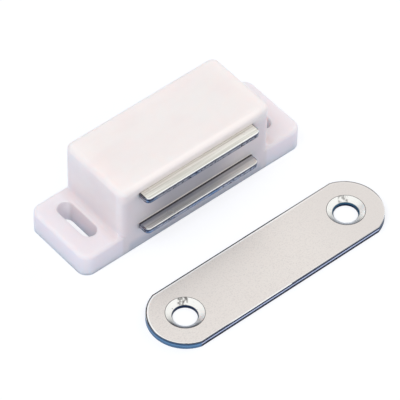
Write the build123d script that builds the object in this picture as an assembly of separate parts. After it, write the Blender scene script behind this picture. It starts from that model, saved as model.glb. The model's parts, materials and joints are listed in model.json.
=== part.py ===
from build123d import *
import os

os.makedirs("parts", exist_ok=True)

# Magnetic cabinet catch and its strike plate, in millimetres.
#
# The origin is the centre of the housing's base, the face that is screwed to the cabinet. X runs from ear
# to ear, the pole plates look out of the front towards -Y, and Z points up off the base. The strike plate
# lies flat on the same surface, in front of the poles, with its countersinks up.

# Housing: one moulding, a body with an ear at each end.
HOUSING_LENGTH = 57.6
HOUSING_DEPTH = 18.0
HOUSING_HEIGHT = 18.4
BODY_LENGTH = 39.2
EAR_THICKNESS = 5.5
BODY_CORNER_RADIUS = 1.7
EAR_CORNER_RADIUS = 2.4
BODY_EDGE_RADIUS = 1.3
EAR_EDGE_RADIUS = 0.85
FOOT_BLEND_RADIUS = 1.1
FOOT_RUN_OUT_RADIUS = 2.6

# Screw slots in the ears, a little behind the middle. They run front to back, so that the catch can be
# set to the door.
EAR_SLOT_WIDTH = 3.6
EAR_SLOT_LENGTH = 10.8
EAR_SLOT_X = 23.0
EAR_SLOT_Y = 0.7
EAR_SLOT_RIM_RADIUS = 0.25

# Magnet pack: a ferrite block between two steel pole plates. A tongue of each plate comes out of the
# front, and its wider shoulders stay behind the front wall.
POLE_THICKNESS = 1.4
POLE_BOTTOM_Z = 5.34
TONGUE_WIDTH = 29.6
TONGUE_CORNER_RADIUS = 1.1
TONGUE_PROTRUSION = 2.55
SHOULDER_WIDTH = 32.0
SHOULDER_CORNER_RADIUS = 0.8
POLE_EDGE_RADIUS = 0.25
MAGNET_LENGTH = 29.6
MAGNET_DEPTH = 12.0
MAGNET_HEIGHT = 7.76
MAGNET_CHAMFER = 0.4
MAGNET_FRONT_GAP = 0.4

# Pocket that takes the pack in from the back of the housing, and what holds it there.
FRONT_WALL = 2.0
POCKET_SIDE_GAP = 0.2
POCKET_TOP_GAP = 0.15
POCKET_CORNER_RADIUS = 0.2
TONGUE_SLOT_GAP = 0.05
SHOULDER_GAP = 0.05
GRIP_RIB_WIDTH = 1.0
GRIP_RIB_GAP = 0.05
GRIP_RIB_Z = (8.6, 12.6)
SNAP_NOSE_HEIGHT = 0.5
SNAP_NOSE_DEPTH = 1.4
SNAP_NOSE_WIDTH = 5.0
SNAP_NOSE_GAP = 0.1
SNAP_NOSE_RECESS = 0.6
SNAP_NOSE_X = (-10.0, 10.0)

# Coring under the pocket's floor, with a rib each way, which keeps the moulding's walls even.
CORE_DEPTH = 3.3
CORE_WALL = 2.0
CORE_RIB = 1.6
CORE_CORNER_RADIUS = 0.8

# Strike plate, as it lies in front of the housing.
STRIKE_LENGTH = 58.4
STRIKE_WIDTH = 15.35
STRIKE_THICKNESS = 1.6
STRIKE_END_RADIUS = 8.0
STRIKE_EDGE_RADIUS = 0.15
STRIKE_HOLE_SPACING = 42.6
STRIKE_HOLE_RADIUS = 2.55
STRIKE_COUNTERSINK_RADIUS = 3.95
STRIKE_COUNTERSINK_ANGLE = 107.0
STRIKE_X = 1.6
STRIKE_Y = -29.28

FRONT_Y = -HOUSING_DEPTH / 2
BACK_Y = HOUSING_DEPTH / 2
POCKET_FRONT_Y = FRONT_Y + FRONT_WALL
TONGUE_FRONT_Y = FRONT_Y - TONGUE_PROTRUSION
NOSE_FRONT_Y = BACK_Y - SNAP_NOSE_RECESS - SNAP_NOSE_DEPTH
SHOULDER_FRONT_Y = POCKET_FRONT_Y + SHOULDER_GAP
SHOULDER_BACK_Y = NOSE_FRONT_Y - SNAP_NOSE_GAP
UPPER_POLE_BOTTOM_Z = POLE_BOTTOM_Z + POLE_THICKNESS + MAGNET_HEIGHT
PACK_TOP_Z = UPPER_POLE_BOTTOM_Z + POLE_THICKNESS
POCKET_TOP_Z = PACK_TOP_Z + POCKET_TOP_GAP
POCKET_WIDTH = SHOULDER_WIDTH + 2 * POCKET_SIDE_GAP


def top_face(solid):
    """The highest face."""
    return solid.faces().sort_by(Axis.Z)[-1]


def plan_block(length, depth, corner_radius, bottom_z, top_z):
    """A rounded rectangle, centred on the catch, raised from one height to another."""
    return Pos(0, 0, bottom_z) * extrude(RectangleRounded(length, depth, corner_radius), top_z - bottom_z)


def foot_blend():
    """The hollow blend where the body rises from the ears, which runs out on the ears' rounded edges."""
    length = BODY_LENGTH + 2 * FOOT_BLEND_RADIUS
    depth = HOUSING_DEPTH + 2 * FOOT_BLEND_RADIUS
    corner_radius = BODY_CORNER_RADIUS + FOOT_BLEND_RADIUS
    top_z = EAR_THICKNESS + FOOT_BLEND_RADIUS
    skirt = plan_block(length, depth, corner_radius, EAR_THICKNESS - EAR_EDGE_RADIUS, top_z)
    path = (Pos(0, 0, top_z) * RectangleRounded(length, depth, corner_radius)).wire()
    section = Plane(origin=path @ 0, z_dir=path % 0) * Circle(FOOT_BLEND_RADIUS)
    bar = Plane.YZ * RectangleRounded(HOUSING_DEPTH, 2 * top_z, FOOT_RUN_OUT_RADIUS)
    run_out = extrude(bar, HOUSING_LENGTH / 2, both=True)
    return (skirt - sweep(section, path=path)) & run_out


def ear_slots():
    """The two slots, through the full thickness of the ears."""
    slot = extrude(SlotOverall(EAR_SLOT_LENGTH, EAR_SLOT_WIDTH, rotation=90), HOUSING_HEIGHT)
    return [Pos(side * EAR_SLOT_X, EAR_SLOT_Y, 0) * slot for side in (-1, 1)]


def housing_shell():
    """The outside of the moulding, with its slots. Every edge is rounded but those round the base."""
    ears = plan_block(HOUSING_LENGTH, HOUSING_DEPTH, EAR_CORNER_RADIUS, 0, EAR_THICKNESS)
    ears = ears - ear_slots()
    rims = [edge for wire in top_face(ears).inner_wires() for edge in wire.edges()]
    ears = fillet(rims, EAR_SLOT_RIM_RADIUS)
    ears = fillet(top_face(ears).outer_wire().edges(), EAR_EDGE_RADIUS)
    body = plan_block(BODY_LENGTH, HOUSING_DEPTH, BODY_CORNER_RADIUS, 0, HOUSING_HEIGHT)
    body = fillet(top_face(body).edges(), BODY_EDGE_RADIUS)
    return ears + body + foot_blend()


def pocket():
    """The space for the magnet pack, open at the back, and the two slots for the plates' tongues."""
    height = POCKET_TOP_Z - POLE_BOTTOM_Z
    mouth = RectangleRounded(POCKET_WIDTH, height, POCKET_CORNER_RADIUS)
    at_back = Plane.XZ.offset(-BACK_Y) * Pos(0, POLE_BOTTOM_Z + height / 2)
    space = extrude(at_back * mouth, HOUSING_DEPTH - FRONT_WALL)
    tongue_slot = Box(
        TONGUE_WIDTH + 2 * TONGUE_SLOT_GAP,
        2 * FRONT_WALL,
        POLE_THICKNESS + 2 * TONGUE_SLOT_GAP,
    )
    through_front_wall = FRONT_Y + FRONT_WALL / 2
    for bottom_z in (POLE_BOTTOM_Z, UPPER_POLE_BOTTOM_Z):
        space += Pos(0, through_front_wall, bottom_z + POLE_THICKNESS / 2) * tongue_slot
    return space


def grip_ribs():
    """Ribs along the pocket's side walls, between the plates, that centre the magnet."""
    inner_x = MAGNET_LENGTH / 2 + GRIP_RIB_GAP
    outer_x = POCKET_WIDTH / 2 + GRIP_RIB_WIDTH
    length = MAGNET_FRONT_GAP + MAGNET_DEPTH
    rib = Box(outer_x - inner_x, length, GRIP_RIB_WIDTH)
    middle_y = POCKET_FRONT_Y + length / 2
    return [
        Pos(side * (inner_x + outer_x) / 2, middle_y, z) * rib
        for side in (-1, 1)
        for z in GRIP_RIB_Z
    ]


def snap_noses():
    """Wedges on the pocket's floor and roof that the pack is pushed past, and that then hold it in."""
    root = SNAP_NOSE_HEIGHT
    crest = SNAP_NOSE_DEPTH / 4
    profile = Polyline(
        (0, -root),
        (0, SNAP_NOSE_HEIGHT),
        (crest, SNAP_NOSE_HEIGHT),
        (SNAP_NOSE_DEPTH, 0),
        (SNAP_NOSE_DEPTH, -root),
        close=True,
    )
    wedge = extrude(Plane.YZ * make_face(profile), SNAP_NOSE_WIDTH / 2, both=True)
    on_floor = [Pos(x, NOSE_FRONT_Y, POLE_BOTTOM_Z) * wedge for x in SNAP_NOSE_X]
    on_roof = [Pos(x, NOSE_FRONT_Y, POCKET_TOP_Z) * mirror(wedge, about=Plane.XY) for x in SNAP_NOSE_X]
    return on_floor + on_roof


def cores():
    """Four recesses up into the floor from below, which leave a rib each way under the middle."""
    length = BODY_LENGTH / 2 - CORE_WALL - CORE_RIB / 2
    depth = HOUSING_DEPTH / 2 - CORE_WALL - CORE_RIB / 2
    recess = plan_block(length, depth, CORE_CORNER_RADIUS, 0, CORE_DEPTH)
    return [
        Pos(side * (CORE_RIB + length) / 2, end * (CORE_RIB + depth) / 2, 0) * recess
        for side in (-1, 1)
        for end in (-1, 1)
    ]


def housing():
    """The moulding: shell, pocket and cores, with the ribs and noses inside the pocket."""
    hollow = housing_shell() - pocket() - cores()
    return hollow + grip_ribs() + snap_noses()


def pole_plate(bottom_z):
    """A stamped steel plate with its tongue through the front wall and its shoulders behind it."""
    shoulder_depth = SHOULDER_BACK_Y - SHOULDER_FRONT_Y
    shoulders = Pos(0, SHOULDER_FRONT_Y + shoulder_depth / 2) * RectangleRounded(
        SHOULDER_WIDTH, shoulder_depth, SHOULDER_CORNER_RADIUS
    )
    tongue_depth = SHOULDER_BACK_Y - TONGUE_FRONT_Y
    tongue = Pos(0, TONGUE_FRONT_Y + tongue_depth / 2) * RectangleRounded(
        TONGUE_WIDTH, tongue_depth, TONGUE_CORNER_RADIUS
    )
    plate = Pos(0, 0, bottom_z) * extrude(shoulders + tongue, POLE_THICKNESS)
    faces = plate.faces().sort_by(Axis.Z)
    tongue_edges = [
        edge
        for face in (faces[0], faces[-1])
        for edge in face.edges()
        if edge.center().Y < POCKET_FRONT_Y
    ]
    return fillet(tongue_edges, POLE_EDGE_RADIUS)


def magnet():
    """The ferrite block, face to face with both plates."""
    block = Box(MAGNET_LENGTH, MAGNET_DEPTH, MAGNET_HEIGHT)
    block = chamfer(block.edges(), MAGNET_CHAMFER)
    middle_y = POCKET_FRONT_Y + MAGNET_FRONT_GAP + MAGNET_DEPTH / 2
    return Pos(0, middle_y, POLE_BOTTOM_Z + POLE_THICKNESS + MAGNET_HEIGHT / 2) * block


def strike_plate():
    """A flat steel plate, its ends arcs a little wider than its sides, with two countersunk holes."""
    arc_centre_x = STRIKE_LENGTH / 2 - STRIKE_END_RADIUS
    outline = Rectangle(2 * arc_centre_x, STRIKE_WIDTH)
    for side in (-1, 1):
        outline += Pos(side * arc_centre_x, 0) * Circle(STRIKE_END_RADIUS)
    outline = outline & Rectangle(STRIKE_LENGTH, STRIKE_WIDTH)
    plate = extrude(outline, STRIKE_THICKNESS)
    plate = fillet(top_face(plate).edges(), STRIKE_EDGE_RADIUS)
    hole = CounterSinkHole(
        STRIKE_HOLE_RADIUS,
        STRIKE_COUNTERSINK_RADIUS,
        depth=STRIKE_THICKNESS,
        counter_sink_angle=STRIKE_COUNTERSINK_ANGLE,
    )
    holes = [Pos(side * STRIKE_HOLE_SPACING / 2, 0, STRIKE_THICKNESS) * hole for side in (-1, 1)]
    return Pos(STRIKE_X, STRIKE_Y, 0) * (plate - holes)


export_step(housing(), "parts/housing.step")
export_step(pole_plate(POLE_BOTTOM_Z), "parts/lower_pole_plate.step")
export_step(pole_plate(UPPER_POLE_BOTTOM_Z), "parts/upper_pole_plate.step")
export_step(magnet(), "parts/magnet.step")
export_step(strike_plate(), "parts/strike_plate.step")
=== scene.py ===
"""Look of the magnetic catch and its strike plate: materials, floor, light and camera.

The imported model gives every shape, size and place. This file adds no shape to it: each piece keeps its CAD
mesh and gets a procedural material, worked out in metres in the model's own frame. Some of the strike plate's
and pole plates' dark and blue marks are painted after the photo's reflections, and stay put in other views.
"""
import json
import math
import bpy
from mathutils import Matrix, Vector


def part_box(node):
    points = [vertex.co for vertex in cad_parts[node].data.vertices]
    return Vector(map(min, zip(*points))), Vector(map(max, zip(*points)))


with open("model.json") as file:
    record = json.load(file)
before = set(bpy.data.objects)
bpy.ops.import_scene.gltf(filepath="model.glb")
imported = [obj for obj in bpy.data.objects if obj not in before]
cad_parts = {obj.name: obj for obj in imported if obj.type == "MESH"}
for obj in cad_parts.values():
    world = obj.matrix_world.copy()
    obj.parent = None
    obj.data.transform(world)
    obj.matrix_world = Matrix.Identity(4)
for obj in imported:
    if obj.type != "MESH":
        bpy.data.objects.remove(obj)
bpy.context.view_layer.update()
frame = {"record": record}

from types import SimpleNamespace

import bpy
from mathutils import Matrix, Vector

# Camera: where it looks, from which side and how far away. Metres, degrees, and millimetres for the lens.
CAMERA_TARGET = (0.00255, -0.00744, 0.0)
CAMERA_AZIMUTH = -41.29
CAMERA_ELEVATION = 48.76
CAMERA_ROLL = 1.60
CAMERA_DISTANCE = 0.7086
CAMERA_LENS = 312.7
SENSOR_WIDTH = 36.0

# Radius of the strike plate's end arcs, and length of each pole plate's tongue, in metres.
STRIKE_END_RADIUS = 0.008
POLE_TONGUE = 0.0296

# Each surface's roughness, from and to, and the height of its grain in metres.
PLASTIC_ROUGHNESS = (0.30, 0.46)
POLE_ROUGHNESS = (0.24, 0.34)
STRIKE_ROUGHNESS = (0.34, 0.44)
FERRITE_ROUGHNESS = (0.55, 0.8)
PLASTIC_GRAIN = 0.000012
POLE_GRAIN = 0.000006
STRIKE_GRAIN = 0.000008
FERRITE_GRAIN = 0.00003
GRAIN_STRENGTH = 0.6

# The plastic's index of refraction, and how far red, green and blue light go in it, in metres.
PLASTIC_IOR = 1.49
PLASTIC_GLOW_DEPTH = (0.0025, 0.0020, 0.0019)

# The top of the housing's front: how far down its shading is turned up, and by how much.
FRONT_CROWN = (0.0022, 0.0004)
CROWN_TILT = 0.3

# Ranges on the housing, in metres, for its painted shade and painted light. Where a tone fades in, it starts
# at the first and is full at the second. X is measured from the middle towards either end, and FRONT_DEPTH
# back from the front wall.
FRONT_DEPTH = (0.0012, 0.0006)
EAR_Z = (0.009, 0.0055)
MAGNET_MIDDLE_X = -0.0017
MAGNET_X = (0.0150, 0.0045)
MAGNET_SHADE_STRENGTH = 0.80
CORE_X = (0.0180, 0.0168)
CORE_Z = (0.0034, 0.0012)
UPPER_LIT_X = (0.0190, 0.0150)
UPPER_LIT_SOFT = 0.0003
LOWER_LIT_X = (0.0154, 0.0144)
LOWER_LIT_HEIGHT = 0.0004
SLOT_X = (0.0212, 0.0248)
SLOT_Y = (-0.0048, 0.0062)
FOOT_X = (0.0194, 0.0206)
FOOT_Z = (0.0115, 0.0060)
FRONT_SHADE_X = (0.0194, 0.0186)

# Ranges on the pole plates, in metres, for their painted shade and reflection: the dark line at the tongue's
# ends, the dark strip and the dark line in front of the housing, and the stretch along X over which the strip
# fades.
TONGUE_END = (0.00030, 0.00016)
REFLECTION_WIDTH = (0.0028, 0.0014)
SHADED_WIDTH = (0.00042, 0.00026)
REFLECTION_FADE_X = (-0.012, 0.013)

# The sine and cosine of the photo camera's azimuth, 41.3 degrees, for the marks painted in the countersinks.
SIGHT_X = 0.66
SIGHT_Y = 0.75

# Ranges on the strike plate, in metres: from its middle along X and Y, from its edge, from a hole's edge, and
# from a hole's middle along the photo camera's line of sight (AWAY) and across it (SIDEWAYS).
# These place the strike plate's painted highlight, reflection and shade.
RIGHT_X = (0.004, 0.024)
BACK_Y = (-0.004, 0.004)
BACK_SHIFT_AT_RIGHT = 0.003
LINE_WIDTH = (-0.0001, 0.00032)
LINE_EDGE = (0.00006, -0.00004)
RIM_FROM_LINE = (-0.0010, 0.00026)
RING_FROM_HOLE = (0.00135, 0.00146)
NEAR_AWAY = (-0.0012, -0.0032)
NEAR_FROM_HOLE = (0.0001, 0.0012)
FAR_AWAY = (0.0018, 0.0030)
FAR_SIDEWAYS = (-0.0014, 0.0002)
LIP_OUTER = (0.00021, 0.00036)
LIP_INNER = (0.00010, 0.00020)
LIP_AWAY = (-0.0014, -0.0002)
HOLE_WALL_FADE = (0.0006, 0.0003)

# Colours, as linear red, green and blue.
WHITE = (1.0, 1.0, 1.0)
PLASTIC = (0.95, 0.875, 0.865)
PLASTIC_SHADE = (0.92, 0.84, 0.835)
# Painted shade: the ears and the lower part of the body are cooler and darker than the top.
PLASTIC_LOW_SHADE = (0.90, 0.855, 0.895)
# Painted light, on the front just above each pole plate.
PLASTIC_LIT = (1.0, 0.95, 0.93)
# Painted shade, in the crease where the body's ends meet the ears.
PLASTIC_FOOT_SHADE = (0.85, 0.79, 0.81)
# Painted shade: the front is darker from its foot up to the upper pole plate.
PLASTIC_FRONT_SHADE = (0.84, 0.78, 0.79)
# Painted light, on the inner walls of the ears' slots.
PLASTIC_SLOT_LIT = (0.99, 0.965, 1.0)
# Partly the magnet behind the front wall, partly painted shade between the pole plates.
PLASTIC_SHADE_OVER_MAGNET = (0.42, 0.43, 0.48)
# Partly the hollow cores behind the front wall, partly painted shade along its foot under the lower pole
# plate.
PLASTIC_SHADE_OVER_CORE = (0.64, 0.64, 0.69)
POLE_FACE = (0.90, 0.89, 0.83)
POLE_LINE = (0.66, 0.65, 0.59)
# Pale streaks along the rolled lines, and a painted highlight on the rounded rim.
POLE_STREAK_AND_HIGHLIGHT = (0.98, 0.98, 0.95)
# Painted shade: dark lines along the tongue's ends and where the plate comes out of the housing.
POLE_SHADE_LINE = (0.03, 0.028, 0.034)
# Painted reflection and shade: the lower pole plate's face darker next to the housing.
POLE_DARK_REFLECTION = (0.35, 0.365, 0.43)
POLE_CUT = (0.40, 0.41, 0.46)
# Painted reflection, in blue patches on the cut edges.
POLE_CUT_BLUE_REFLECTION = (0.18, 0.28, 0.45)
# Dark bands and specks on the cut edges: partly the cut's own, partly painted reflection.
POLE_CUT_DARK_AND_REFLECTION = (0.02, 0.025, 0.05)
STRIKE_FACE = (0.82, 0.775, 0.74)
# Random speckle, and painted shade towards the plate's right end.
STRIKE_SPECKLE_AND_SHADE = (0.73, 0.69, 0.665)
# Painted highlight along the rim.
STRIKE_RIM_HIGHLIGHT = (1.0, 1.0, 0.99)
# Painted reflection: dark lines along the back edge and round the countersinks.
STRIKE_DARK_REFLECTION = (0.03, 0.03, 0.035)
# The cut edges' own colour, bluish from painted reflection.
STRIKE_CUT = (0.64, 0.69, 0.84)
# Painted reflection on the cut edges at the plate's ends.
STRIKE_CUT_BLUE_REFLECTION = (0.18, 0.34, 0.52)
# Dark bands and specks on the cut edges, partly their own, partly painted reflection, and painted shade on
# the right end.
STRIKE_CUT_DARK_AND_SHADE = (0.012, 0.016, 0.04)
COUNTERSINK = (0.95, 0.95, 0.92)
COUNTERSINK_NEAR = (0.10, 0.10, 0.11)
COUNTERSINK_FAR = (0.18, 0.17, 0.165)
# Painted shade in the holes' walls and on the far lip of each hole.
HOLE_WALL_SHADE = (0.015, 0.03, 0.07)
# Painted reflection in the holes towards the right end.
HOLE_WALL_BLUE_REFLECTION = (0.03, 0.09, 0.16)
FERRITE = (0.045, 0.045, 0.05)
FERRITE_DUST = (0.10, 0.10, 0.11)
FLOOR = (0.64, 0.73, 0.88)
FLOOR_SEEN = (0.24, 0.26, 0.30)
SKY = (1.0, 0.965, 0.97)

# How strongly the sky lights the object, and how bright the floor looks to the camera and in a mirror.
SKY_STRENGTH = 0.50
FLOOR_GLOW_SEEN = 0.78
FLOOR_GLOW_MIRRORED = 0.15
FLOOR_SIZE = 6.0
FLOOR_DROP = 0.00005

# Each lamp's name, place in metres, power in watts and colour. All of them shine at the origin.
LAMP_SIZE = 0.6
LAMPS = (
    ("key", (-0.5, 0.0, 0.87), 3.8, (0.98, 0.98, 1.0)),
    ("front", (-0.35, -0.65, 0.65), 1.45, (1.0, 0.93, 0.89)),
    ("right", (0.87, 0.0, 0.5), 2.75, (1.0, 0.94, 0.87)),
)


class Nodes:
    """A material's node tree, with one short call for each kind of node used here."""

    def __init__(self, name):
        self.material = bpy.data.materials.new(name)
        self.material.use_nodes = True
        self.tree = self.material.node_tree
        self.tree.nodes.clear()
        self.output = self.tree.nodes.new("ShaderNodeOutputMaterial")

    def add(self, kind, **settings):
        node = self.tree.nodes.new(kind)
        for key, value in settings.items():
            setattr(node, key, value)
        return node

    def set(self, socket, value):
        """Link an output to a socket, or set the socket's own value."""
        if isinstance(value, bpy.types.NodeSocket):
            self.tree.links.new(value, socket)
        elif socket.type == "RGBA":
            socket.default_value = (*value, 1.0)
        else:
            socket.default_value = value

    def math(self, operation, *values, clamp=False):
        node = self.add("ShaderNodeMath", operation=operation, use_clamp=clamp)
        for socket, value in zip(node.inputs, values):
            self.set(socket, value)
        return node.outputs[0]

    def mix(self, factor, first, second):
        node = self.add("ShaderNodeMix", data_type="RGBA")
        self.set(node.inputs[0], factor)
        self.set(node.inputs[6], first)
        self.set(node.inputs[7], second)
        return node.outputs[2]

    def between(self, value, low, high):
        """0 below low, 1 above high, and smooth between them."""
        node = self.add("ShaderNodeMapRange", interpolation_type="SMOOTHSTEP")
        self.set(node.inputs[0], value)
        self.set(node.inputs[1], low)
        self.set(node.inputs[2], high)
        return node.outputs[0]

    def window(self, value, low, high, soft):
        """1 from low to high, falling to 0 over soft on either side."""
        above = self.between(value, low - soft, low)
        below = self.between(value, high + soft, high)
        return self.math("MULTIPLY", above, below)

    def times(self, *values):
        product = values[0]
        for value in values[1:]:
            product = self.math("MULTIPLY", product, value)
        return product

    def scaled(self, value, low, high):
        """A value from 0 to 1 spread over low to high."""
        node = self.add("ShaderNodeMapRange")
        self.set(node.inputs[0], value)
        self.set(node.inputs[3], low)
        self.set(node.inputs[4], high)
        return node.outputs[0]

    def place(self):
        """Where a point lies on its piece, in the model's frame, whatever the pose."""
        return self.add("ShaderNodeTexCoord").outputs["Object"]

    def facing(self):
        """The surface's own normal, on the piece."""
        return self.add("ShaderNodeTexCoord").outputs["Normal"]

    def hypotenuse(self, first, second):
        return self.math("SQRT", self.math("ADD", self.times(first, first), self.times(second, second)))

    def split(self, vector):
        node = self.add("ShaderNodeSeparateXYZ")
        self.set(node.inputs[0], vector)
        return node.outputs

    def noise(self, size, detail=2.0, stretch=(1.0, 1.0, 1.0), offset=(0.0, 0.0, 0.0)):
        """Noise from 0 to 1 whose blobs are about size across, times stretch along each axis."""
        mapping = self.add("ShaderNodeMapping")
        self.set(mapping.inputs["Vector"], self.place())
        self.set(mapping.inputs["Location"], offset)
        self.set(mapping.inputs["Scale"], tuple(1.0 / (size * along) for along in stretch))
        texture = self.add("ShaderNodeTexNoise")
        self.set(texture.inputs["Vector"], mapping.outputs[0])
        self.set(texture.inputs["Scale"], 1.0)
        self.set(texture.inputs["Detail"], detail)
        return texture.outputs["Fac"]

    def raised(self, amount):
        """The surface's normal, turned towards +Z by amount."""
        rise = self.add("ShaderNodeCombineXYZ")
        self.set(rise.inputs["Z"], amount)
        total = self.add("ShaderNodeVectorMath", operation="ADD")
        self.set(total.inputs[0], self.add("ShaderNodeNewGeometry").outputs["Normal"])
        self.set(total.inputs[1], rise.outputs[0])
        unit = self.add("ShaderNodeVectorMath", operation="NORMALIZE")
        self.set(unit.inputs[0], total.outputs[0])
        return unit.outputs[0]

    def bump(self, height, distance, strength=1.0, normal=None):
        node = self.add("ShaderNodeBump")
        if normal is not None:
            self.set(node.inputs["Normal"], normal)
        self.set(node.inputs["Height"], height)
        self.set(node.inputs["Distance"], distance)
        self.set(node.inputs["Strength"], strength)
        return node.outputs[0]

    def surface(self, **sockets):
        """The finished surface. Names use _ for a space, as in base_color."""
        shader = self.add("ShaderNodeBsdfPrincipled")
        named = {socket.name.lower().replace(" ", "_"): socket for socket in shader.inputs}
        for name, value in sockets.items():
            self.set(named[name], value)
        self.tree.links.new(shader.outputs[0], self.output.inputs[0])
        return self.material


def housing_tones(n, place, facing_y):
    """Masks for the places on the housing whose tone is painted after the photo."""
    x, y, z = place
    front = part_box("housing")[0][1]
    upper_bottom, upper_top = (corner[2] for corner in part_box("upper_pole_plate"))
    lower_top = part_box("lower_pole_plate")[1][2]
    across = n.math("ABSOLUTE", x)
    facing_along = n.math("ABSOLUTE", facing_y)
    on_front = n.between(y, front + FRONT_DEPTH[0], front + FRONT_DEPTH[1])
    off_magnet = n.math("ABSOLUTE", n.math("SUBTRACT", x, MAGNET_MIDDLE_X))
    between_plates = n.window(z, lower_top, upper_bottom, 0.0006)
    above_upper = n.between(z, upper_top - UPPER_LIT_SOFT, upper_top + UPPER_LIT_SOFT)
    above_lower = n.window(z, lower_top, lower_top + LOWER_LIT_HEIGHT, 0.0002)
    lit_above_upper = n.times(on_front, n.between(across, *UPPER_LIT_X), above_upper)
    lit_above_lower = n.times(on_front, n.between(across, *LOWER_LIT_X), above_lower)
    slot_end = n.times(n.between(facing_along, 0.25, 0.60), n.window(across, *SLOT_X, 0.00005))
    # Painted shade in the crease at the foot of the body's ends.
    foot_shade = n.times(n.window(across, *FOOT_X, 0.0016), n.between(z, *FOOT_Z))
    return SimpleNamespace(
        magnet=n.times(on_front, n.between(off_magnet, *MAGNET_X), between_plates),
        core=n.times(on_front, n.between(across, *CORE_X), n.between(z, *CORE_Z)),
        lit=n.math("MAXIMUM", lit_above_upper, lit_above_lower),
        lit_in_slot=n.times(slot_end, n.window(y, *SLOT_Y, 0.0001)),
        foot_shade=n.times(foot_shade, n.between(facing_along, 0.60, 0.30)),
        front_shade=n.times(on_front, n.between(across, *FRONT_SHADE_X), n.between(z, upper_top, upper_bottom)),
    )


def plastic_color(n, z, flow, tones):
    """The housing's colour, with its tones laid one over another."""
    color = n.mix(n.between(flow, 0.35, 0.75), PLASTIC, PLASTIC_SHADE)
    # Painted shade: cooler and darker towards the bottom.
    color = n.mix(n.between(z, *EAR_Z), color, PLASTIC_LOW_SHADE)
    # Painted shade at the foot of the body's ends.
    color = n.mix(tones.foot_shade, color, PLASTIC_FOOT_SHADE)
    # Painted shade on the front, up to the upper pole plate.
    color = n.mix(tones.front_shade, color, PLASTIC_FRONT_SHADE)
    # Between the pole plates: partly the magnet behind the wall, partly painted shade.
    color = n.mix(n.times(tones.magnet, MAGNET_SHADE_STRENGTH), color, PLASTIC_SHADE_OVER_MAGNET)
    # Along the front's foot: partly the hollow cores, partly painted shade.
    color = n.mix(tones.core, color, PLASTIC_SHADE_OVER_CORE)
    # Painted light on the front just above each pole plate.
    color = n.mix(tones.lit, color, PLASTIC_LIT)
    # Painted light on the inner walls of the ears' slots.
    return n.mix(tones.lit_in_slot, color, PLASTIC_SLOT_LIT)


def plastic_material():
    """White moulded plastic: satin, translucent, with faint flow marks and a fine mould grain.

    The front wall is darker over the magnet and the hollow cores, partly from these and partly as painted
    shade, and it is painted paler over the pole plates' slots, as painted light. The crown at the top of the
    front is shading only, by a turned normal.
    """
    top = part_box("housing")[1][2]
    n = Nodes("white_plastic")
    place = n.split(n.place())
    z = place[2]
    facing_y = n.split(n.facing())[1]
    flow = n.noise(0.006, detail=3.0, stretch=(2.0, 1.0, 0.7))
    grain = n.noise(0.00025, detail=2.0)
    tones = housing_tones(n, place, facing_y)
    height = n.math("MULTIPLY_ADD", flow, 0.6, grain)
    facing_front = n.between(facing_y, -0.30, -0.70)
    crown = n.times(n.between(z, top - FRONT_CROWN[0], top - FRONT_CROWN[1]), facing_front, CROWN_TILT)
    return n.surface(
        base_color=plastic_color(n, z, flow, tones),
        roughness=n.scaled(flow, *PLASTIC_ROUGHNESS),
        ior=PLASTIC_IOR,
        specular_ior_level=0.45,
        subsurface_weight=n.scaled(n.math("MAXIMUM", tones.lit, tones.lit_in_slot), 1.0, 0.0),
        subsurface_radius=PLASTIC_GLOW_DEPTH,
        subsurface_scale=1.0,
        normal=n.bump(height, PLASTIC_GRAIN, 0.5, normal=n.raised(crown)),
    )


def share_of_height(n, node, z):
    """How far up its piece a point lies, from 0 to 1."""
    low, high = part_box(node)
    return n.math("DIVIDE", n.math("SUBTRACT", z, low[2]), high[2] - low[2])


def pole_face(n, place, up, lines, corner):
    """Colour of a pole plate's rolled faces, darker by corner, as painted shade and reflection, where it
    leaves the housing.
    """
    x, y = place[0], place[1]
    front_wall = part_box("housing")[0][1]
    rolled = n.noise(0.00045, detail=3.0, stretch=(70.0, 1.0, 1.0), offset=(0.0, 0.3, 0.0))
    streaks = n.noise(0.0009, detail=3.0, stretch=(4.0, 1.0, 1.0))
    face = n.mix(n.between(rolled, 0.42, 0.60), POLE_FACE, POLE_LINE)
    face = n.mix(n.times(n.between(lines, 0.50, 0.75), 0.5), face, POLE_STREAK_AND_HIGHLIGHT)
    rim_highlight_strength = n.scaled(n.between(streaks, 0.62, 0.42), 1.0, 1.0 - 0.7 * corner)
    # Painted highlight on the rounded rim, broken by streaks.
    face = n.mix(n.times(n.between(up, 0.995, 0.93), rim_highlight_strength), face, POLE_STREAK_AND_HIGHLIGHT)
    from_end = n.math("SUBTRACT", POLE_TONGUE / 2, n.math("ABSOLUTE", x))
    # Painted shade: a dark line along the tongue's ends.
    face = n.mix(n.between(from_end, *TONGUE_END), face, POLE_SHADE_LINE)
    # Painted reflection and shade: a dark strip next to the housing, fading along X.
    reflection_from = n.scaled(streaks, front_wall - REFLECTION_WIDTH[0], front_wall - REFLECTION_WIDTH[1])
    reflection_fade = n.scaled(n.between(x, *REFLECTION_FADE_X), 1.15, 0.75)
    face = n.mix(n.times(n.between(y, reflection_from, front_wall), reflection_fade, corner), face, POLE_DARK_REFLECTION)
    # Painted shade in the corner where the plate comes out of the housing.
    shaded = n.between(y, front_wall - SHADED_WIDTH[0], front_wall - SHADED_WIDTH[1])
    return n.mix(n.times(shaded, corner), face, POLE_SHADE_LINE)


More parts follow.
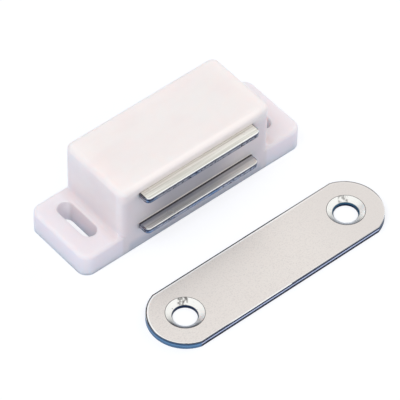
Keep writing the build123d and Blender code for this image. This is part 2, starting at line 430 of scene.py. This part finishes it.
def pole_cut(n, depth, end_facing):
    """Colour of a pole plate's cut edges: blue patches of painted reflection, and near-black bands partly
    their own, partly painted reflection.
    """
    patch = n.noise(0.0035, detail=2.0, stretch=(2.0, 1.0, 1.0))
    mottle = n.noise(0.00035, detail=3.0, stretch=(2.0, 2.0, 1.0))
    toward_ends = n.between(n.math("ABSOLUTE", end_facing), 0.8, 0.95)
    blue = n.times(n.between(patch, 0.48, 0.66), n.math("SUBTRACT", 1.0, toward_ends))
    # Painted reflection: blue patches, none on the ends.
    cut = n.mix(blue, POLE_CUT, POLE_CUT_BLUE_REFLECTION)
    bands = n.math("MAXIMUM", n.window(depth, 0.66, 0.82, 0.08), n.between(depth, 0.26, 0.12))
    bands = n.times(bands, n.scaled(patch, 0.5, 1.2))
    dark = n.math("MAXIMUM", bands, n.between(mottle, 0.50, 0.66), clamp=True)
    return n.mix(dark, cut, POLE_CUT_DARK_AND_REFLECTION)


def pole_material(node, corner):
    """Bright zinc-plated strip: lines rolled along it, a painted highlight on its rim, and cut edges all
    round.

    corner is how dark the plate is, in painted shade and reflection, where it comes out of the housing.
    """
    n = Nodes(node)
    place = n.split(n.place())
    facing = n.split(n.facing())
    up = n.math("ABSOLUTE", facing[2])
    lines = n.noise(0.00014, detail=2.0, stretch=(40.0, 1.0, 1.0))
    cloud = n.noise(0.004, detail=2.0)
    face = pole_face(n, place, up, lines, corner)
    cut = pole_cut(n, share_of_height(n, node, place[2]), facing[0])
    return n.surface(
        base_color=n.mix(n.between(up, 0.45, 0.65), cut, face),
        metallic=1.0,
        roughness=n.scaled(cloud, *POLE_ROUGHNESS),
        normal=n.bump(lines, POLE_GRAIN, GRAIN_STRENGTH),
    )


def strike_places(n, node, holes):
    """Where a point lies on the strike plate: from its middle, its edge and its nearer hole, in metres."""
    low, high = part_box(node)
    middle = [(a + b) / 2 for a, b in zip(low, high)]
    x, y, z = n.split(n.place())
    from_middle = n.math("SUBTRACT", x, middle[0])
    along = n.math("ABSOLUTE", from_middle)
    off = n.math("SUBTRACT", y, middle[1])
    half_straight = (high[0] - low[0]) / 2 - STRIKE_END_RADIUS
    past = n.math("MAXIMUM", n.math("SUBTRACT", along, half_straight), 0.0)
    from_end = n.math("SUBTRACT", STRIKE_END_RADIUS, n.hypotenuse(past, off))
    from_side = n.math("SUBTRACT", (high[1] - low[1]) / 2, n.math("ABSOLUTE", off))
    hole_along = n.math("SUBTRACT", along, holes["dims"]["spacing_x_mm"] / 2000)
    hole_radius = holes["dims"]["hole_r_mm"] / 1000
    return SimpleNamespace(
        off=off,
        from_edge=n.math("MINIMUM", from_end, from_side),
        hole_x=n.times(n.math("SIGN", from_middle), hole_along),
        from_hole=n.math("SUBTRACT", n.hypotenuse(hole_along, off), hole_radius),
        right=n.between(x, middle[0] + RIGHT_X[0], middle[0] + RIGHT_X[1]),
        depth=share_of_height(n, node, z),
    )


def strike_face(n, at, facing_up, speckle):
    """Colour of the strike plate's faces. The front's rim is a painted highlight, and its dark lines painted
    reflection.
    """
    struck = n.between(facing_up, 0.5, 0.9)
    face = n.mix(n.between(speckle, 0.45, 0.72), STRIKE_FACE, STRIKE_SPECKLE_AND_SHADE)
    # Painted shade: the face darker towards the right end.
    face = n.mix(n.times(at.right, 0.6), face, STRIKE_SPECKLE_AND_SHADE)
    back = n.between(n.math("ADD", at.off, n.times(at.right, BACK_SHIFT_AT_RIGHT)), *BACK_Y)
    from_line = n.math("SUBTRACT", at.from_edge, n.scaled(back, *LINE_WIDTH))
    # Painted highlight along the rim, fading towards the right end.
    rim = n.times(struck, n.window(from_line, *RIM_FROM_LINE, 0.00010), n.scaled(at.right, 1.0, 0.15))
    face = n.mix(rim, face, STRIKE_RIM_HIGHLIGHT)
    # Painted reflection: a dark line along the back edge.
    line = n.times(struck, n.between(from_line, *LINE_EDGE), n.scaled(at.right, 1.0, 0.65))
    face = n.mix(line, face, STRIKE_DARK_REFLECTION)
    # Painted reflection: a dark ring round each countersink.
    ring = n.times(struck, n.window(at.from_hole, *RING_FROM_HOLE, 0.00008))
    return n.mix(ring, face, STRIKE_DARK_REFLECTION)


def countersink(n, at):
    """Colour of the countersinks.

    Their marks stand in for reflection and shade in the photo. They are laid out along its camera's line of
    sight, by SIGHT_X and SIGHT_Y, and they stay where they are in other views.
    """
    patches = n.noise(0.0006, detail=3.0)
    away = n.math("ADD", n.times(at.hole_x, SIGHT_X), n.times(at.off, SIGHT_Y))
    sideways = n.math("SUBTRACT", n.times(at.hole_x, SIGHT_Y), n.times(at.off, SIGHT_X))
    near = n.times(n.between(away, *NEAR_AWAY), n.scaled(at.right, 1.0, 0.6))
    near = n.times(near, n.scaled(n.between(at.from_hole, *NEAR_FROM_HOLE), 0.25, 1.0))
    sink = n.mix(near, COUNTERSINK, COUNTERSINK_NEAR)
    far = n.times(n.between(away, *FAR_AWAY), n.window(sideways, *FAR_SIDEWAYS, 0.0004))
    far = n.times(far, n.between(patches, 0.36, 0.62), n.scaled(at.right, 1.0, 0.7))
    spots = n.times(n.between(patches, 0.66, 0.74), 0.5)
    sink = n.mix(n.math("MAXIMUM", far, spots), sink, COUNTERSINK_FAR)
    lip = n.between(at.from_hole, n.scaled(at.right, *LIP_OUTER), n.scaled(at.right, *LIP_INNER))
    wall = n.mix(at.right, HOLE_WALL_SHADE, HOLE_WALL_BLUE_REFLECTION)
    return n.mix(n.times(lip, n.between(away, *LIP_AWAY)), sink, wall)


def strike_cut(n, at, end_facing):
    """Colour of the strike plate's cut edges and hole walls: painted reflection and shade, with bands partly
    their own.
    """
    mottle = n.noise(0.0005, detail=3.0, stretch=(8.0, 8.0, 0.6))
    at_ends = n.between(n.math("ABSOLUTE", end_facing), 0.05, 0.40)
    # Painted reflection: bluer on the ends.
    cut = n.mix(at_ends, STRIKE_CUT, STRIKE_CUT_BLUE_REFLECTION)
    # Painted shade on the right end's cut edge.
    cut = n.mix(n.times(n.between(end_facing, 0.05, 0.40), 0.7), cut, STRIKE_CUT_DARK_AND_SHADE)
    top_band = n.times(n.window(at.depth, 0.66, 0.90, 0.06), n.scaled(at_ends, 1.0, 0.7))
    bottom_band = n.times(n.between(at.depth, 0.44, 0.36), n.scaled(at_ends, 1.0, 0.35))
    bands = n.math("MAXIMUM", top_band, bottom_band)
    dark = n.math("MAXIMUM", bands, n.between(mottle, 0.60, 0.75))
    cut = n.mix(dark, cut, STRIKE_CUT_DARK_AND_SHADE)
    # Painted shade on the hole walls.
    return n.mix(n.between(at.from_hole, *HOLE_WALL_FADE), cut, HOLE_WALL_SHADE)


def strike_material(node, holes):
    """Satin zinc-plated plate: speckled faces, cut edges and countersinks."""
    n = Nodes(node)
    at = strike_places(n, node, holes)
    facing = n.split(n.facing())
    up = n.math("ABSOLUTE", facing[2])
    speckle = n.noise(0.00028, detail=3.0)
    cloud = n.noise(0.007, detail=3.0)
    face = strike_face(n, at, facing[2], speckle)
    color = n.mix(n.between(up, 0.30, 0.50), strike_cut(n, at, facing[0]), countersink(n, at))
    return n.surface(
        base_color=n.mix(n.between(up, 0.90, 0.97), color, face),
        metallic=1.0,
        roughness=n.scaled(cloud, *STRIKE_ROUGHNESS),
        normal=n.bump(speckle, STRIKE_GRAIN, GRAIN_STRENGTH),
    )


def ferrite_material():
    """Sintered ferrite: near black, with a dusty grain."""
    n = Nodes("ferrite")
    grain = n.noise(0.0004, detail=4.0)
    return n.surface(
        base_color=n.mix(n.between(grain, 0.4, 0.8), FERRITE, FERRITE_DUST),
        roughness=n.scaled(grain, *FERRITE_ROUGHNESS),
        normal=n.bump(grain, FERRITE_GRAIN, GRAIN_STRENGTH),
    )


def mount(name):
    """One of the record's mounts."""
    return next(found for found in frame["record"]["mounts"] if found["name"] == name)


def dress(node, material):
    """Give a CAD node its material, in every slot that it has."""
    piece = bpy.data.objects[node]
    for material_slot in piece.material_slots:
        material_slot.link = "OBJECT"
        material_slot.material = material


def floor():
    """A plain pale floor. The camera sees it white, and it still takes the object's shadow."""
    bpy.ops.mesh.primitive_plane_add(size=FLOOR_SIZE, location=(0.0, 0.0, -FLOOR_DROP))
    plane = bpy.context.object
    plane.name = "floor"
    n = Nodes("floor")
    path = n.add("ShaderNodeLightPath").outputs
    mirrored = n.math("MAXIMUM", path["Is Glossy Ray"], path["Is Transmission Ray"])
    seen_glow = n.math("MULTIPLY", path["Is Camera Ray"], FLOOR_GLOW_SEEN)
    glow = n.math("ADD", seen_glow, n.math("MULTIPLY", mirrored, FLOOR_GLOW_MIRRORED))
    diffuse = n.add("ShaderNodeBsdfDiffuse")
    n.set(diffuse.inputs["Color"], n.mix(path["Is Camera Ray"], FLOOR, FLOOR_SEEN))
    emission = n.add("ShaderNodeEmission")
    n.set(emission.inputs["Color"], WHITE)
    n.set(emission.inputs["Strength"], glow)
    both = n.add("ShaderNodeAddShader")
    n.set(both.inputs[0], diffuse.outputs[0])
    n.set(both.inputs[1], emission.outputs[0])
    n.set(n.output.inputs[0], both.outputs[0])
    plane.data.materials.append(n.material)


def surroundings():
    """An even, faintly cool light from all round, which the camera and mirrors see as white."""
    world = bpy.data.worlds.new("studio")
    bpy.context.scene.world = world
    world.use_nodes = True
    tree = world.node_tree
    tree.nodes.clear()
    output = tree.nodes.new("ShaderNodeOutputWorld")
    path = tree.nodes.new("ShaderNodeLightPath")
    seen = tree.nodes.new("ShaderNodeMath")
    seen.operation = "MAXIMUM"
    mirrored = tree.nodes.new("ShaderNodeMath")
    mirrored.operation = "MAXIMUM"
    tree.links.new(path.outputs["Is Glossy Ray"], mirrored.inputs[0])
    tree.links.new(path.outputs["Is Transmission Ray"], mirrored.inputs[1])
    tree.links.new(path.outputs["Is Camera Ray"], seen.inputs[0])
    tree.links.new(mirrored.outputs[0], seen.inputs[1])
    light = tree.nodes.new("ShaderNodeBackground")
    light.inputs["Color"].default_value = (*SKY, 1.0)
    light.inputs["Strength"].default_value = SKY_STRENGTH
    white = tree.nodes.new("ShaderNodeBackground")
    white.inputs["Color"].default_value = (*WHITE, 1.0)
    white.inputs["Strength"].default_value = 1.0
    mix = tree.nodes.new("ShaderNodeMixShader")
    tree.links.new(seen.outputs[0], mix.inputs[0])
    tree.links.new(light.outputs[0], mix.inputs[1])
    tree.links.new(white.outputs[0], mix.inputs[2])
    tree.links.new(mix.outputs[0], output.inputs[0])


def lamp(name, place, power, color):
    """A large soft square lamp, turned to the origin. Metal doesn't mirror it as a hot spot."""
    data = bpy.data.lights.new(name, "AREA")
    data.size = LAMP_SIZE
    data.energy = power
    data.color = color
    lamp_object = bpy.data.objects.new(name, data)
    lamp_object.visible_glossy = False
    lamp_object.location = place
    toward_origin = Vector((0.0, 0.0, 0.0)) - Vector(place)
    lamp_object.rotation_euler = toward_origin.to_track_quat("-Z", "Y").to_euler()
    bpy.context.scene.collection.objects.link(lamp_object)


def camera():
    """The camera, from its target, azimuth, elevation, roll and distance."""
    azimuth = math.radians(CAMERA_AZIMUTH)
    elevation = math.radians(CAMERA_ELEVATION)
    backward = Vector(
        (
            math.sin(azimuth) * math.cos(elevation),
            -math.cos(azimuth) * math.cos(elevation),
            math.sin(elevation),
        )
    )
    across = Vector((math.cos(azimuth), math.sin(azimuth), 0.0))
    upright = backward.cross(across)
    turned = Matrix((across, upright, backward)).transposed().to_4x4()
    data = bpy.data.cameras.new("camera")
    data.lens = CAMERA_LENS
    data.sensor_width = SENSOR_WIDTH
    data.clip_start = 0.01
    data.clip_end = 20.0
    view = bpy.data.objects.new("camera", data)
    view.matrix_world = (
        Matrix.Translation(Vector(CAMERA_TARGET) + backward * CAMERA_DISTANCE)
        @ turned
        @ Matrix.Rotation(math.radians(CAMERA_ROLL), 4, "Z")
    )
    bpy.context.scene.collection.objects.link(view)
    bpy.context.scene.camera = view


dress("housing", plastic_material())
dress("upper_pole_plate", pole_material("upper_pole_plate", 0.0))
dress("lower_pole_plate", pole_material("lower_pole_plate", 0.9))
dress("magnet", ferrite_material())
dress("strike_plate", strike_material("strike_plate", mount("strike_holes")))
floor()
surroundings()
for settings in LAMPS:
    lamp(*settings)
camera()

scene = bpy.context.scene
scene.view_settings.view_transform = "Standard"
